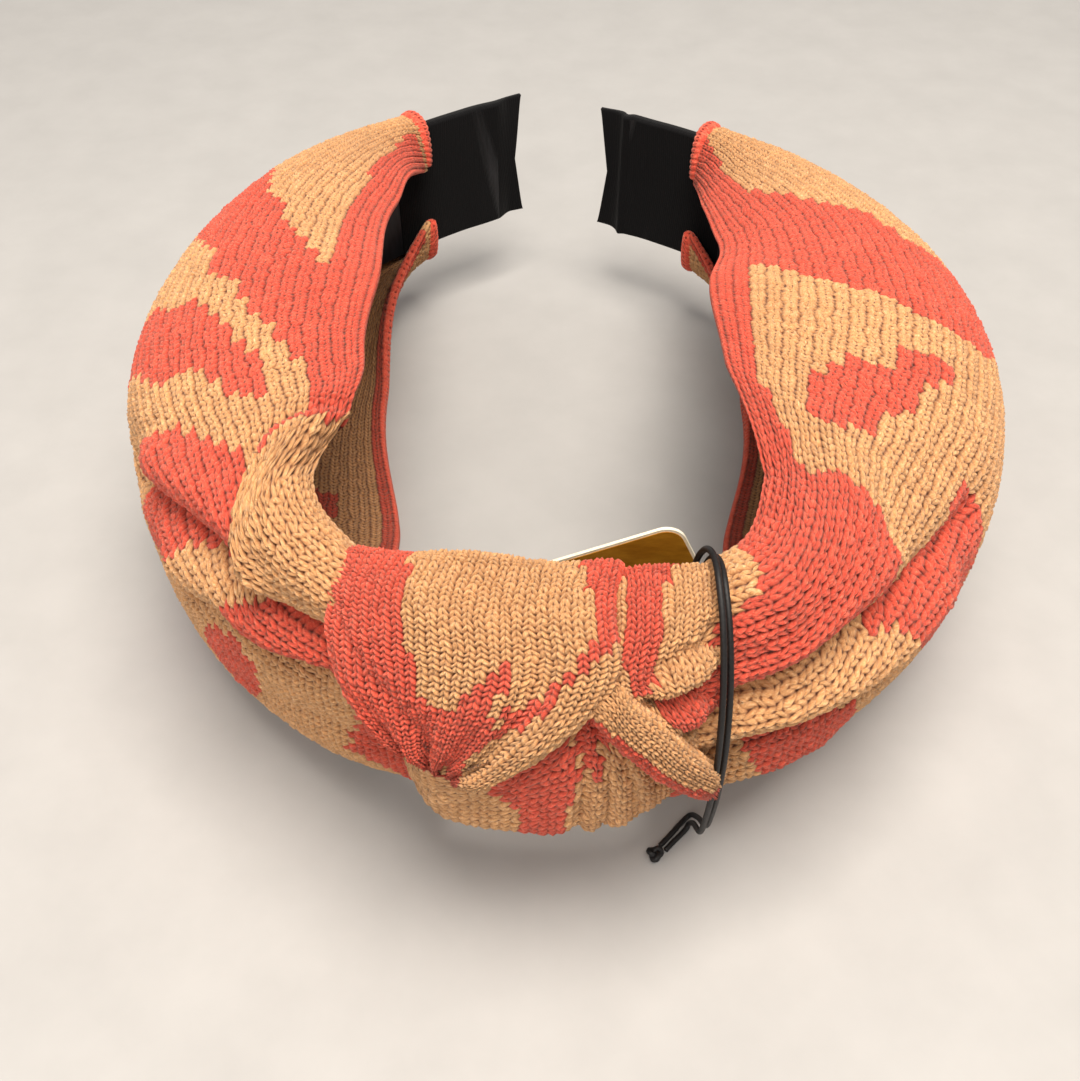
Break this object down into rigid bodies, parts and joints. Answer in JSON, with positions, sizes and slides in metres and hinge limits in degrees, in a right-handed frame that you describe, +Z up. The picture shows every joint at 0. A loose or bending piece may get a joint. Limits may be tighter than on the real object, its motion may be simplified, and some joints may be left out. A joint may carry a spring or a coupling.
{
  "type": "knotted headband",
  "caption": "Springy open headband strip in black ribbon with a wide two-colour knit cover, tied in a front knot, and a price card hung on a doubled cord.",
  "frame": {"origin": "centre of the bounding box at the bottom, the headband lying on the lower edges of its covers", "axes": "+X to the right as seen from the knot, +Y from the knot to the open tips, +Z up across the width of the band"},
  "size_m": [0.1476, 0.178, 0.0655],
  "materials": {
    "strip": "matt moulded",
    "ribbon": "fine ribbed ribbon",
    "glue": "set hot glue",
    "knit": "doubled jacquard knit in coral and tan",
    "knit_coral": "doubled jacquard knit, mostly coral here",
    "knit_tan": "doubled jacquard knit, mostly tan here",
    "card": "uncoated card",
    "foil": "satin gold foil",
    "cord": "twisted cord"
  },
  "bodies": {
    "crown": {"crown_band": "strip", "crown_ribbon_inner": "ribbon", "crown_ribbon_outer": "ribbon", "crown_glue": "glue", "knot_wrap": "knit_tan", "knot_underside": "knit_coral", "knot_lower_strand": "knit_tan", "knot_upper_strand": "knit_coral", "tag_cord_a": "cord", "tag_cord_b": "cord", "tag_cord_knot": "cord"},
    "left_arm": {"left_arm_band": "strip", "left_ribbon_inner": "ribbon", "left_ribbon_outer": "ribbon", "left_ribbon_end": "ribbon", "left_cover": "knit", "left_end_roll": "knit", "left_glue": "glue"},
    "right_arm": {"right_arm_band": "strip", "right_ribbon_inner": "ribbon", "right_ribbon_outer": "ribbon", "right_ribbon_end": "ribbon", "right_cover": "knit", "right_end_roll": "knit", "right_glue": "glue"},
    "tag": {"tag_card": "card", "tag_foil": "foil"}
  },
  "joints": [
    {"name": "left_arm_flex", "type": "hinge", "parent": "crown", "child": "left_arm", "pos_m": [-0.02766, -0.06412, 0.0316], "axis": [0, 0, 1], "range_deg": [-3, 15], "stiffness_Nm_per_rad": 1.2},
    {"name": "right_arm_flex", "type": "hinge", "parent": "crown", "child": "right_arm", "pos_m": [0.02766, -0.06412, 0.0316], "axis": [0, 0, -1], "range_deg": [-3, 15], "stiffness_Nm_per_rad": 1.2},
    {"name": "tag_swing", "type": "hinge", "parent": "crown", "child": "tag", "pos_m": [0.0178, -0.0522, 0.0342], "axis": [0, 1, 0], "range_deg": [0, 60]}
  ]
}
